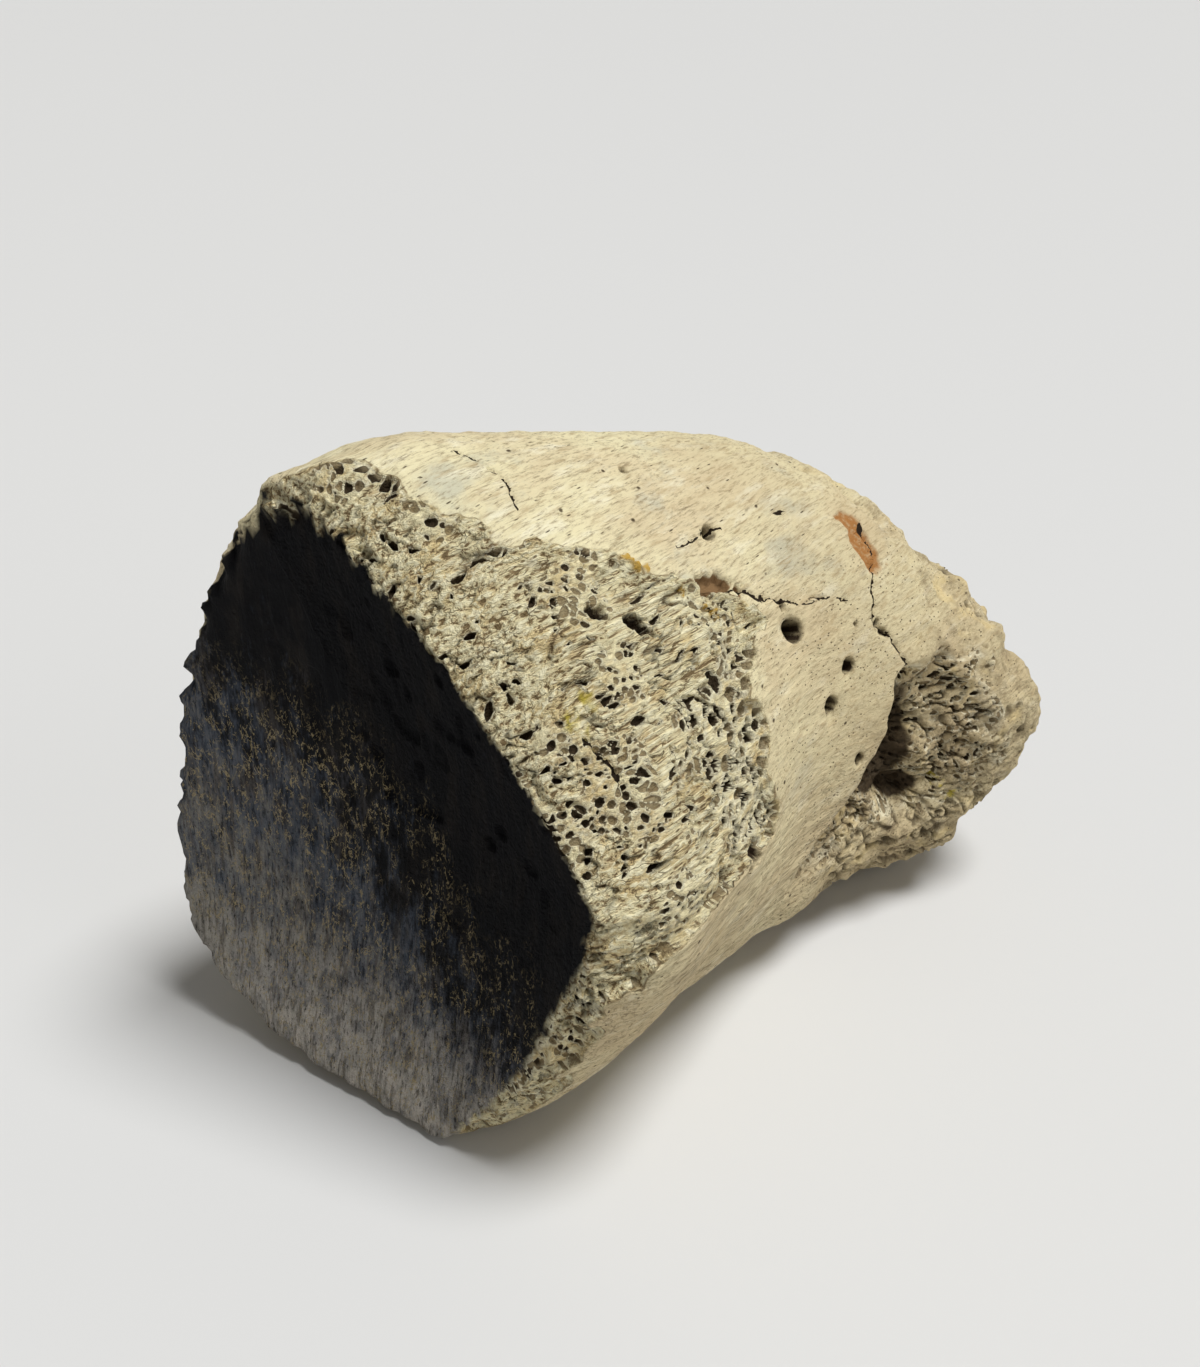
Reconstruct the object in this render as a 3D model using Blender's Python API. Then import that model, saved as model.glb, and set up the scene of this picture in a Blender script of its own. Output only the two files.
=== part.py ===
"""Fossil hadrosaur toe bone: a first phalanx lying on its plantar side.

Lengths are in millimetres up to the last step, which writes metres. X runs from the socket at
the ankle end to the condyles at the far end, +Z is up, and -Y is the near flank, which has lost
its skin of dense bone. The bone rests on its heel and on the undersides of both condyles.
"""

import bmesh
import bpy
import numpy as np

MM = 0.001

# Driving dimensions
LENGTH = 111.0
CONDYLE_X = 98.0
SOCKET_DEPTH = 5.5
SOCKET_LEAN = 4.0
END_ROUNDNESS = 0.8
FLAKE_DEPTH = 1.0
FLAKE_EDGE = 1.8
GROOVE_DEPTH = 3.2
GROOVE_WIDTH = 8.0
GROOVE_X = (84.0, 104.0)

# The place on the floor that becomes the origin
MIDDLE_X = 55.4
MIDDLE_Y = 3.5

# Faces of the first grid, and triangles that the solid keeps
AROUND = 420
ALONG = 360
TRIANGLES = 11700

# Where along the form the socket's rim lies and where the rounded end begins, and the shares of
# the grid's columns and rows that lie before places on it, most of them on the flaked flank
SOCKET_SHARE = 62 / 240
END_SHARE = 192 / 240
COLUMN_SHARES = [(0, 0), (0.68, 0.40), (1, 1)]
ROW_SHARES = [(0, 0), (0.15, SOCKET_SHARE), (0.80, 0.72), (0.875, END_SHARE), (1, 1)]

# Lengthwise lines, each a list of (x, value): crest, near side, sole and far side
CREST_Y = [(0, 18), (30, 15), (55, 10), (78, 4), (102, 0)]
CREST_Z = [(0, 80.5), (6, 83), (30, 81), (55, 75.5), (78, 69), (92, 61.5), (102, 52), (111, 41)]
NEAR_Y = [(0, -22.5), (8, -26), (30, -25), (56, -23), (78, -31), (93, -38), (102, -37)]
NEAR_Z = [(0, 43), (30, 38), (56, 30), (78, 28), (102, 27)]
SOLE_Y = [(0, 2), (30, -1), (55, -5), (90, -14), (102, -14)]
SOLE_Z = [(0, 1), (8, -0.6), (30, 0.5), (55, 3), (72, 3.5), (90, -0.6), (102, 1), (111, 7)]
FAR_Y = [(0, 45), (8, 46), (30, 40), (56, 31), (80, 29), (102, 26)]
FAR_Z = [(0, 24), (30, 26), (56, 28), (80, 26), (102, 24)]

# Fullness of each quarter of the section: 1 is a straight side, 2 an ellipse, above 2 a corner
FULL_CREST_NEAR = [(0, 1.2), (12, 1.4), (30, 1.6), (60, 1.9), (80, 1.8), (102, 1.6)]
FULL_NEAR_SOLE = [(0, 1.55), (12, 1.6), (30, 1.75), (60, 2.6), (80, 2.3), (92, 1.8), (102, 1.3)]
FULL_SOLE_FAR = [(0, 2.6), (30, 2.3), (60, 2.0), (102, 2.1)]
FULL_FAR_CREST = [(0, 1.85), (30, 2.0), (60, 2.0), (102, 1.8)]

# How far from the socket the near flank has flaked, for turns round the bone from the crest
FLAKED = [(0, 12), (0.068, 17.4), (0.081, 23.5), (0.09, 30.7), (0.107, 33), (0.118, 39),
          (0.134, 47), (0.15, 51), (0.158, 46), (0.184, 41), (0.2, 42), (0.224, 40),
          (0.255, 42), (0.262, 30), (0.268, 19.6), (0.279, 9), (0.311, 5.4), (0.45, 5.4),
          (0.5, -2), (0.9, -2), (0.94, 4), (1, 12)]

# The open spongy part of the flaked flank: its middle and reach, its cells along and across
# the bone, how deep the open ones are, and how much the flank swells between hollows
SPONGE = (36.0, -20.0, 47.0), (13.0, 12.0, 12.0)
SPONGE_CELL = (2.2, 1.75, 1.75)
SPONGE_DEPTH = 2.5
FLANK_SWELL = 0.5

# The flaked flank's mean depth below the flake, in its upper plates and in its lower grooves
PLATE_DEPTH = 0.65
LOW_DEPTH = 0.3

# Hollows and lumps, each (x, y, z, reach, depth), with a lump's depth below zero. The ligament
# pit's near edge is a line of (z, x), and past it the bone drops by a step.
PIT = [(70, -28, 31, 10.0, 6.5), (67, -26, 28, 5.0, 2.0), (75, -30, 22, 7.0, 3.5),
       (78, -31, 37, 8.0, 2.5), (68, -26, 32, 6.0, 3.0), (73, -28, 22, 3.5, 2.0)]
PIT_EDGE = [(20, 50), (24, 57), (29, 63), (34, 67.5), (40, 70), (44, 72.5), (47, 80)]
PIT_STEP = 3.0
PIT_LINING = 0.7
FAR_PIT = [(76, 29, 30, 13.0, 5.0), (82, 29, 37, 9.0, 1.5)]
END_WEAR = 1.3
HOLES = [(55.3, -17, 54.7, 2.2, 4.5), (63.4, -21.7, 47.1, 1.5, 3.0),
         (58.8, -21.7, 43.1, 1.8, 3.4), (49.3, -7.5, 68.2, 1.7, 2.5)]
LUMPS = [(8, 17, 83, 7.0, -1.6), (7, 24, 81, 6.0, -2.0), (6, 31, 77, 5.0, -1.5),
         (6, 36, 71, 4.5, -1.2), (5, 40, 64, 4.5, -1.0), (5, 43, 55, 4.5, -0.8),
         (4, 45, 45, 4.5, -0.6), (98, -38, 31, 8.0, -1.6), (92, -30, 42, 7.0, -1.2),
         (84, -30, 8, 7.0, -1.0), (56, -21, 9, 8.0, -1.5), (86, 14, 5.9, 13.0, -3.9),
         (94, 14, 5.9, 13.0, -4.1)]


def along(line, x):
    """The value of a lengthwise line at x, on a smooth curve through its points."""
    px = np.array([p[0] for p in line], float)
    pv = np.array([p[1] for p in line], float)
    slope = np.gradient(pv, px)
    i = np.clip(np.searchsorted(px, x) - 1, 0, len(px) - 2)
    step = px[i + 1] - px[i]
    t = np.clip((x - px[i]) / step, 0, 1)
    start = (1 + 2 * t) * (1 - t) ** 2 * pv[i] + t * (1 - t) ** 2 * step * slope[i]
    end = t * t * (3 - 2 * t) * pv[i + 1] + t * t * (t - 1) * step * slope[i + 1]
    return start + end


def smooth(t):
    """0 below 0, 1 above 1 and a soft step between."""
    t = np.clip(t, 0, 1)
    return t * t * (3 - 2 * t)


def quarter(turn, full):
    """How much of its start and of its end a quarter of a section keeps, turn going 0 to 1."""
    angle = turn * np.pi / 2
    c, s = np.cos(angle) ** 2, np.sin(angle) ** 2
    ring = (c ** (full / 2) + s ** (full / 2)) ** (-1 / full)
    return np.sqrt(c) * ring, np.sqrt(s) * ring


def section(u, x):
    """y and z of the outline at x, for u from 0 to 1 round it from the crest."""
    crest = along(CREST_Y, x), along(CREST_Z, x)
    near = along(NEAR_Y, x), along(NEAR_Z, x)
    sole = along(SOLE_Y, x), along(SOLE_Z, x)
    far = along(FAR_Y, x), along(FAR_Z, x)
    y, z = np.zeros_like(x), np.zeros_like(x)
    quarters = [(crest, near, FULL_CREST_NEAR), (near, sole, FULL_NEAR_SOLE),
                (sole, far, FULL_SOLE_FAR), (far, crest, FULL_FAR_CREST)]
    for k, ((ya, za), (yb, zb), full) in enumerate(quarters):
        fade, grow = quarter(np.clip(u * 4 - k, 0, 1), along(full, x))
        here = np.floor(u * 4).clip(0, 3) == k
        if k % 2 == 0:
            y = np.where(here, ya + (yb - ya) * grow, y)
            z = np.where(here, zb + (za - zb) * fade, z)
        else:
            y = np.where(here, yb + (ya - yb) * fade, y)
            z = np.where(here, za + (zb - za) * grow, z)
    return y, z


def surface(u, v):
    """The plain form, for u round it and v from the socket's middle to the end's."""
    dish = np.clip(v / SOCKET_SHARE, 0, 1)
    t = np.clip((v - SOCKET_SHARE) / (END_SHARE - SOCKET_SHARE), 0, 1)
    end = np.clip((v - END_SHARE) / (1 - END_SHARE), 0, 1) * np.pi / 2
    x = CONDYLE_X * t + (LENGTH - CONDYLE_X) * np.sin(end)
    y, z = section(u, x)
    middle_y = (along(NEAR_Y, x) + along(FAR_Y, x)) / 2
    middle_z = (along(CREST_Z, x) + along(SOLE_Z, x)) / 2
    shrink = np.where(v < SOCKET_SHARE, dish, np.cos(end) ** END_ROUNDNESS)
    y = middle_y + (y - middle_y) * shrink
    z = middle_z + (z - middle_z) * shrink
    lean = np.tan(np.radians(SOCKET_LEAN)) * z * (1 - t) ** 2
    return np.stack([x + SOCKET_DEPTH * (1 - dish ** 2) + lean, y, z], 1)


def outward(u, v):
    """The unit direction out of the plain form, along +X at the end's middle."""
    step = 0.002
    round_it = surface((u + step) % 1, v) - surface((u - step) % 1, v)
    along_it = surface(u, np.minimum(v + step, 1)) - surface(u, np.maximum(v - step, 0))
    normal = np.cross(round_it, along_it)
    size = np.linalg.norm(normal, axis=1, keepdims=True)
    return np.where(size > 1e-6, normal / np.maximum(size, 1e-6), (1.0, 0.0, 0.0))


def scramble(corner, seed):
    """A number from 0 to 1 for each whole-number place, the same on each run."""
    n = (corner[:, 0] * 73856093) ^ (corner[:, 1] * 19349663) ^ (corner[:, 2] * 83492791)
    n = (n ^ (seed * 2654435761)) & 0xFFFFFFFF
    n = ((n ^ (n >> 15)) * 2246822519) & 0xFFFFFFFF
    n = ((n ^ (n >> 13)) * 3266489917) & 0xFFFFFFFF
    return (n ^ (n >> 16)) / 4294967295.0


def lumps(p, seed):
    """Soft noise from -1 to 1 with features about one unit across."""
    base = np.floor(p).astype(np.int64)
    f = p - base
    f = f * f * f * (f * (f * 6 - 15) + 10)
    total = np.zeros(len(p))
    for k in range(8):
        corner = np.array((k & 1, k >> 1 & 1, k >> 2))
        share = np.prod(np.where(corner == 1, f, 1 - f), axis=1)
        total += share * (scramble(base + corner, seed) * 2 - 1)
    return total


def drift(points, size, seed):
    """A soft wandering offset from -1 to 1 along each axis."""
    return np.stack([lumps(points / size, seed + axis) for axis in range(3)], 1)


def honeycomb(p, seed):
    """Distance from the wall between cells about one unit across, and a number for the cell."""
    base = np.floor(p).astype(np.int64)
    nearest, second, cell = np.full(len(p), 9.0), np.full(len(p), 9.0), np.zeros(len(p))
    for k in range(27):
        corner = base + np.array((k // 9 - 1, k // 3 % 3 - 1, k % 3 - 1))
        seat = corner + 0.1 + 0.8 * np.stack([scramble(corner, seed + axis) for axis in (1, 2, 3)], 1)
        distance = np.linalg.norm(p - seat, axis=1)
        second = np.minimum(second, np.maximum(distance, nearest))
        cell = np.where(distance < nearest, scramble(corner, seed + 4), cell)
        nearest = np.minimum(nearest, distance)
    return second - nearest, cell


def hollowed(points, places):
    """How deep each (x, y, z, reach, depth) reaches at the points."""
    depth = np.zeros(len(points))
    for px, py, pz, reach, deep in places:
        distance = np.linalg.norm(points - (px, py, pz), axis=1)
        depth += deep * smooth(1 - distance / reach)
    return depth


def flank_form(points):
    """Depth of the flaked flank below its flaked skin: swells, plates and open spongy holes."""
    z = points[:, 2]
    warped = points + 1.2 * drift(points, 6.0, 21) + 0.35 * drift(points, 1.8, 24)
    middle, reach = SPONGE
    sponge = smooth(1.3 - np.linalg.norm((points - middle) / reach, axis=1) + 0.45 * lumps(points / 4.0, 27))
    low = smooth((41.0 - z + 4.0 * lumps(points / 6.0, 28)) / 7.0)
    wall, cell = honeycomb(warped / SPONGE_CELL, 41)
    hollow = smooth((wall - 0.12) / 0.18) * (0.3 + 0.7 * smooth((cell - 0.40) / 0.12))
    depth = sponge * SPONGE_DEPTH * hollow + (1 - sponge) * (PLATE_DEPTH + LOW_DEPTH * low)
    return depth + FLANK_SWELL * lumps(points / (9.0, 4.0, 4.0), 51)


def ligament_pit(points):
    """Depth of the ligament pit beside the condyle, steep along its near edge, and where it is."""
    x, y, z = points.T
    edge = along(PIT_EDGE, z) + 0.8 * lumps(points / 2.5, 65)
    past_edge = smooth((x - edge) / 1.3) * smooth((-12.0 - y) / 4.0)
    tall = smooth((45.0 - z + 2.0 * lumps(points / 3.0, 66)) / 4.0) * smooth((z - 15.0) / 6.0)
    lined = past_edge * tall * smooth((91.0 - x) / 7.0)
    step = PIT_STEP * past_edge * tall * smooth((90.0 - x) / 16.0)
    return hollowed(points, PIT) * (0.1 + 0.9 * past_edge) + step + PIT_LINING * lined, lined


def worn_end(points):
    """Depth of the rough wear on the condyles and on the sole before them, none at the floor."""
    x, y, z = points.T
    sole = smooth((x - 56.0) / 8.0) * smooth((24.0 - z) / 6.0) * smooth((2.0 - y) / 8.0)
    end = smooth((x - 76.0 + 5.0 * lumps(points / 5.0, 83)) / 10.0)
    rough = lumps(points / 5.0, 81) + 0.55 * lumps(points / 2.5 + 17.3, 82)
    return np.maximum(end, sole) * smooth((z - 1.0) / 6.0) * END_WEAR * (rough + 0.4)


def carved(u, v):
    """The bone's points, with what is worn, pitted and swollen moved along the normal."""
    points = surface(u, v)
    x, y, z = points.T
    border = np.interp(u, [p[0] for p in FLAKED], [p[1] for p in FLAKED]) + 1.8 * lumps(points / 3.1, 11)
    past_rim = CONDYLE_X * (v - SOCKET_SHARE) / (END_SHARE - SOCKET_SHARE)
    flake = FLAKE_DEPTH + flank_form(points)
    depth = flake * smooth((border - x) / FLAKE_EDGE) * smooth(past_rim / FLAKE_EDGE)
    pit, lined = ligament_pit(points)
    depth += pit + (1 - lined) * worn_end(points) + hollowed(points, FAR_PIT + HOLES + LUMPS)
    middle_y = (along(NEAR_Y, x) + along(FAR_Y, x)) / 2
    across = np.exp(-((y - middle_y) / GROOVE_WIDTH) ** 2)
    depth += GROOVE_DEPTH * across * smooth((x - GROOVE_X[0]) / (GROOVE_X[1] - GROOVE_X[0]))
    return points - outward(u, v) * depth[:, None]


def bone_mesh(name):
    """A closed skin over the bone, from one grid rolled into a tube with its ends drawn in."""
    bm = bmesh.new()
    bmesh.ops.create_grid(bm, x_segments=AROUND, y_segments=ALONG, size=1.0)
    flat = np.array([vert.co for vert in bm.verts])
    u = np.interp((flat[:, 0] + 1) / 2, *zip(*COLUMN_SHARES))
    v = np.interp((flat[:, 1] + 1) / 2, *zip(*ROW_SHARES))
    points = carved(u, v) - (MIDDLE_X, MIDDLE_Y, 0)
    for vert, point in zip(bm.verts, points * MM):
        vert.co = point
    bmesh.ops.remove_doubles(bm, verts=bm.verts, dist=0.002 * MM)
    bmesh.ops.recalc_face_normals(bm, faces=bm.faces)
    mesh = bpy.data.meshes.new(name)
    bm.to_mesh(mesh)
    bm.free()
    mesh.shade_smooth()
    return mesh


def fossil_bone():
    material = bpy.data.materials.new("fossil_bone")
    material.use_nodes = True
    shader = material.node_tree.nodes["Principled BSDF"]
    shader.inputs["Base Color"].default_value = (0.50, 0.43, 0.31, 1)
    shader.inputs["Roughness"].default_value = 0.8
    shader.inputs["Metallic"].default_value = 0.0
    return material


def floor_block():
    """A block whose top is the floor: it cuts the flats that the bone rests on."""
    depth = 20 * MM
    bm = bmesh.new()
    bmesh.ops.create_cube(bm, size=1.0)
    bmesh.ops.scale(bm, verts=bm.verts, vec=(2 * LENGTH * MM, 2 * LENGTH * MM, depth))
    bmesh.ops.translate(bm, verts=bm.verts, vec=(0, 0, -depth / 2))
    mesh = bpy.data.meshes.new("floor_block")
    bm.to_mesh(mesh)
    bm.free()
    block = bpy.data.objects.new("floor_block", mesh)
    block.hide_render = True
    block.display_type = "WIRE"
    return block


def main():
    for obj in list(bpy.data.objects):
        bpy.data.objects.remove(obj)
    scene = bpy.context.scene.collection
    bone = bpy.data.objects.new("phalanx", bone_mesh("phalanx"))
    scene.objects.link(bone)
    bone.data.materials.append(fossil_bone())
    thin = bone.modifiers.new("fewer_faces", "DECIMATE")
    thin.ratio = TRIANGLES / (2 * AROUND * ALONG)
    block = floor_block()
    scene.objects.link(block)
    cut = bone.modifiers.new("resting_flats", "BOOLEAN")
    cut.operation = "DIFFERENCE"
    cut.object = block


main()
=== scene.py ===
import math

import bmesh
import bpy
import numpy as np
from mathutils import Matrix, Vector


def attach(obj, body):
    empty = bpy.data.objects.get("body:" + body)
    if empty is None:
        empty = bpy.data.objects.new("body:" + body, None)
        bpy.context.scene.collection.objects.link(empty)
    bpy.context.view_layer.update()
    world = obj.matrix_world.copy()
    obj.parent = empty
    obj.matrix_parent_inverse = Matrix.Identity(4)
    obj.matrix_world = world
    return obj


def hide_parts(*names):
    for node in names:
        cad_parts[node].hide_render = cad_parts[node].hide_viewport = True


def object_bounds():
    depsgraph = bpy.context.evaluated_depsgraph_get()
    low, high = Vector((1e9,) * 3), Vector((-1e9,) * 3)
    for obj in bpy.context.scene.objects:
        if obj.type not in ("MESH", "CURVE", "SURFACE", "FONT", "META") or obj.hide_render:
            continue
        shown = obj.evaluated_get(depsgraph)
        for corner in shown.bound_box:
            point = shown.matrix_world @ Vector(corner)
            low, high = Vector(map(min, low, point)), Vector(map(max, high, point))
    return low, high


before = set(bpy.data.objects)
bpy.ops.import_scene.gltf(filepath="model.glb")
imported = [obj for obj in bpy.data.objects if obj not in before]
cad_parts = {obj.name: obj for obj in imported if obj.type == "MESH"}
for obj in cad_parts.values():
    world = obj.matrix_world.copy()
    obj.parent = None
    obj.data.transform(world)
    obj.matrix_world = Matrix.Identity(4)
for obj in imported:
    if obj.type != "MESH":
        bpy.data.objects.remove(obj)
cad_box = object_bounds()

# The bone's form. A hadrosaur's first toe bone, turned to stone, lies on its plantar side. Its
# form is a stack of rounded sections along X, in millimetres, closed by a shallow joint socket
# at the ankle end and by the rounded condyles at the other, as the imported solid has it.
MM = 0.001
LENGTH, CONDYLE_X = 111.0, 98.0
SOCKET_DEPTH, SOCKET_LEAN, END_ROUNDNESS = 5.5, 4.0, 0.8
MIDDLE = (55.4, 3.5, 0.0)
SOCKET_SHARE, END_SHARE = 62 / 240, 192 / 240

CREST_Y = [(0, 18), (30, 15), (55, 10), (78, 4), (102, 0)]
CREST_Z = [(0, 80.5), (6, 83), (30, 81), (55, 75.5), (78, 69), (92, 61.5), (102, 52), (111, 41)]
NEAR_Y = [(0, -22.5), (8, -26), (30, -25), (56, -23), (78, -31), (93, -38), (102, -37)]
NEAR_Z = [(0, 43), (30, 38), (56, 30), (78, 28), (102, 27)]
SOLE_Y = [(0, 2), (30, -1), (55, -5), (90, -14), (102, -14)]
SOLE_Z = [(0, 1), (8, -0.6), (30, 0.5), (55, 3), (72, 3.5), (90, -0.6), (102, 1), (111, 7)]
FAR_Y = [(0, 45), (8, 46), (30, 40), (56, 31), (80, 29), (102, 26)]
FAR_Z = [(0, 24), (30, 26), (56, 28), (80, 26), (102, 24)]
FULL_CREST_NEAR = [(0, 1.2), (12, 1.4), (30, 1.6), (60, 1.9), (80, 1.8), (102, 1.6)]
FULL_NEAR_SOLE = [(0, 1.55), (12, 1.6), (30, 1.75), (60, 2.6), (80, 2.3), (92, 1.8), (102, 1.3)]
FULL_SOLE_FAR = [(0, 2.6), (30, 2.3), (60, 2.0), (102, 2.1)]
FULL_FAR_CREST = [(0, 1.85), (30, 2.0), (60, 2.0), (102, 1.8)]


def along(line, x):
    """The value of a lengthwise line at x, on a smooth curve through its points."""
    px = np.array([p[0] for p in line], float)
    pv = np.array([p[1] for p in line], float)
    slope = np.gradient(pv, px)
    i = np.clip(np.searchsorted(px, x) - 1, 0, len(px) - 2)
    step = px[i + 1] - px[i]
    t = np.clip((x - px[i]) / step, 0, 1)
    start = (1 + 2 * t) * (1 - t) ** 2 * pv[i] + t * (1 - t) ** 2 * step * slope[i]
    end = t * t * (3 - 2 * t) * pv[i + 1] + t * t * (t - 1) * step * slope[i + 1]
    return start + end


def smooth(t):
    """0 below 0, 1 above 1 and a soft step between."""
    t = np.clip(t, 0, 1)
    return t * t * (3 - 2 * t)


def quarter(turn, full):
    """How much of its start and of its end a quarter of a section keeps, turn going 0 to 1."""
    angle = turn * np.pi / 2
    c, s = np.cos(angle) ** 2, np.sin(angle) ** 2
    ring = (c ** (full / 2) + s ** (full / 2)) ** (-1 / full)
    return np.sqrt(c) * ring, np.sqrt(s) * ring


def section(u, x):
    """y and z of the outline at x, for u from 0 to 1 round it from the crest."""
    crest = along(CREST_Y, x), along(CREST_Z, x)
    near = along(NEAR_Y, x), along(NEAR_Z, x)
    sole = along(SOLE_Y, x), along(SOLE_Z, x)
    far = along(FAR_Y, x), along(FAR_Z, x)
    y, z = np.zeros_like(x), np.zeros_like(x)
    quarters = [(crest, near, FULL_CREST_NEAR), (near, sole, FULL_NEAR_SOLE),
                (sole, far, FULL_SOLE_FAR), (far, crest, FULL_FAR_CREST)]
    for k, ((ya, za), (yb, zb), full) in enumerate(quarters):
        fade, grow = quarter(np.clip(u * 4 - k, 0, 1), along(full, x))
        here = np.floor(u * 4).clip(0, 3) == k
        if k % 2 == 0:
            y = np.where(here, ya + (yb - ya) * grow, y)
            z = np.where(here, zb + (za - zb) * fade, z)
        else:
            y = np.where(here, yb + (ya - yb) * fade, y)
            z = np.where(here, za + (zb - za) * grow, z)
    return y, z


def plain_form(u, v):
    """Points of the unworn form, for u round it and v from the socket's middle to the end's."""
    dish = np.clip(v / SOCKET_SHARE, 0, 1)
    t = np.clip((v - SOCKET_SHARE) / (END_SHARE - SOCKET_SHARE), 0, 1)
    end = np.clip((v - END_SHARE) / (1 - END_SHARE), 0, 1) * np.pi / 2
    x = CONDYLE_X * t + (LENGTH - CONDYLE_X) * np.sin(end)
    y, z = section(u, x)
    middle_y = (along(NEAR_Y, x) + along(FAR_Y, x)) / 2
    middle_z = (along(CREST_Z, x) + along(SOLE_Z, x)) / 2
    shrink = np.where(v < SOCKET_SHARE, dish, np.cos(end) ** END_ROUNDNESS)
    y = middle_y + (y - middle_y) * shrink
    z = middle_z + (z - middle_z) * shrink
    lean = np.tan(np.radians(SOCKET_LEAN)) * z * (1 - t) ** 2
    return np.stack([x + SOCKET_DEPTH * (1 - dish ** 2) + lean, y, z], 1)


def outward(u, v):
    """The unit direction out of the plain form, along +X at the end's middle."""
    step = 0.002
    round_it = plain_form((u + step) % 1, v) - plain_form((u - step) % 1, v)
    along_it = plain_form(u, np.minimum(v + step, 1)) - plain_form(u, np.maximum(v - step, 0))
    normal = np.cross(round_it, along_it)
    size = np.linalg.norm(normal, axis=1, keepdims=True)
    return np.where(size > 1e-6, normal / np.maximum(size, 1e-6), (1.0, 0.0, 0.0))


# The grain of worn bone. Bone weathers along its fibres and opens its spongy inside, so two
# kinds of irregularity are needed: soft drifting lumps, and a honeycomb of cells with thin
# walls. Both are worked out at points in space from whole-number scrambling, seeded.
def scramble(corner, seed):
    """A number from 0 to 1 for each whole-number place, the same on each run."""
    n = (corner[:, 0] * 73856093) ^ (corner[:, 1] * 19349663) ^ (corner[:, 2] * 83492791)
    n = (n ^ (seed * 2654435761)) & 0xFFFFFFFF
    n = ((n ^ (n >> 15)) * 2246822519) & 0xFFFFFFFF
    n = ((n ^ (n >> 13)) * 3266489917) & 0xFFFFFFFF
    return (n ^ (n >> 16)) / 4294967295.0


def lumps(p, seed):
    """Soft noise from -1 to 1 with features about one unit across."""
    base = np.floor(p).astype(np.int64)
    f = p - base
    f = f * f * f * (f * (f * 6 - 15) + 10)
    total = np.zeros(len(p))
    for corner in ((0, 0, 0), (1, 0, 0), (0, 1, 0), (1, 1, 0), (0, 0, 1), (1, 0, 1), (0, 1, 1), (1, 1, 1)):
        share = np.prod(np.where(np.array(corner) == 1, f, 1 - f), axis=1)
        total += share * (scramble(base + np.array(corner), seed) * 2 - 1)
    return total


def rough_lumps(p, seed, octaves=3):
    """Soft noise with finer noise on it."""
    return sum(lumps(p * 2 ** k + k * 17.3, seed + k) * 0.55 ** k for k in range(octaves))


def honeycomb(p, seed):
    """Distance to a wall between cells about one unit across, and a number for the cell."""
    base = np.floor(p).astype(np.int64)
    nearest = np.full(len(p), 9.0)
    second = np.full(len(p), 9.0)
    cell = np.zeros(len(p))
    for i in (-1, 0, 1):
        for j in (-1, 0, 1):
            for k in (-1, 0, 1):
                corner = base + np.array((i, j, k))
                seat = corner + 0.1 + 0.8 * np.stack(
                    [scramble(corner, seed + axis) for axis in (1, 2, 3)], 1)
                distance = np.linalg.norm(p - seat, axis=1)
                second = np.minimum(second, np.maximum(distance, nearest))
                closer = distance < nearest
                cell = np.where(closer, scramble(corner, seed + 4), cell)
                nearest = np.minimum(nearest, distance)
    return second - nearest, nearest, cell


# Where the surface is worn. The near flank has flaked down to spongy bone as far as a ragged
# border; nutrient holes, a deep ligament pit, cracks and chips are named by their place on the
# plain form, (x, y, z, reach, depth) in millimetres, and lumps have a depth below zero.
FLAKE_DEPTH, FLAKE_EDGE = 1.0, 1.3
FLAKED = [(0, 12), (0.068, 17.4), (0.081, 23.5), (0.09, 30.7), (0.107, 33), (0.118, 39),
          (0.134, 47), (0.15, 51), (0.158, 46), (0.184, 41), (0.2, 42), (0.224, 40),
          (0.255, 42), (0.262, 30), (0.268, 19.6), (0.279, 9), (0.311, 5.4), (0.45, 5.4),
          (0.5, -2), (0.9, -2), (0.94, 4), (1, 12)]
SPONGE = (36.0, -20.0, 47.0), (13.0, 12.0, 12.0)
SPONGE_CELL, SPONGE_DEPTH, FLANK_SWELL = (2.2, 1.75, 1.75), 2.5, 0.5
POCKET_CELL, BLISTER_CELL = (2.6, 0.95, 0.9), (1.5, 1.1, 1.05)
GROOVE_DEPTH, GROOVE_WIDTH, GROOVE_X = 3.2, 8.0, (84.0, 104.0)
PIT = [(70, -28, 31, 10.0, 6.5), (67, -26, 28, 5.0, 2.0), (75, -30, 22, 7.0, 3.5),
       (78, -31, 37, 8.0, 2.5), (68, -26, 32, 6.0, 3.0), (73, -28, 22, 3.5, 2.0)]
PIT_EDGE = [(20, 50), (24, 57), (29, 63), (34, 67.5), (40, 70), (44, 72.5), (47, 80)]
PIT_STEP, PIT_CELL, CLEFT_DEPTH = 3.0, 1.15, 0.8
PIT_DARK = [(72.5, -28.0, 31.0, 7.0, 1), (71.0, -27.5, 26.5, 6.0, 1), (75.5, -29.5, 21.5, 3.8, 1),
            (73.0, -26.5, 37.5, 5.5, 0.7), (82.0, -31.0, 33.0, 3.0, 0.5)]
FAR_PIT = [(76, 29, 30, 13.0, 5.0), (82, 29, 37, 9.0, 1.5)]
END_WEAR, POCK_CELL, POCK_DEPTH = 1.3, 1.9, 0.9
LUMPS = [(8, 17, 83, 7.0, -1.6), (7, 24, 81, 6.0, -2.0), (6, 31, 77, 5.0, -1.5),
         (6, 36, 71, 4.5, -1.2), (5, 40, 64, 4.5, -1.0), (5, 43, 55, 4.5, -0.8),
         (4, 45, 45, 4.5, -0.6), (98, -38, 31, 8.0, -1.6), (92, -30, 42, 7.0, -1.2),
         (84, -30, 8, 7.0, -1.0), (56, -21, 9, 8.0, -1.5), (86, 14, 5.9, 13.0, -3.9),
         (94, 14, 5.9, 13.0, -4.1)]
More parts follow.
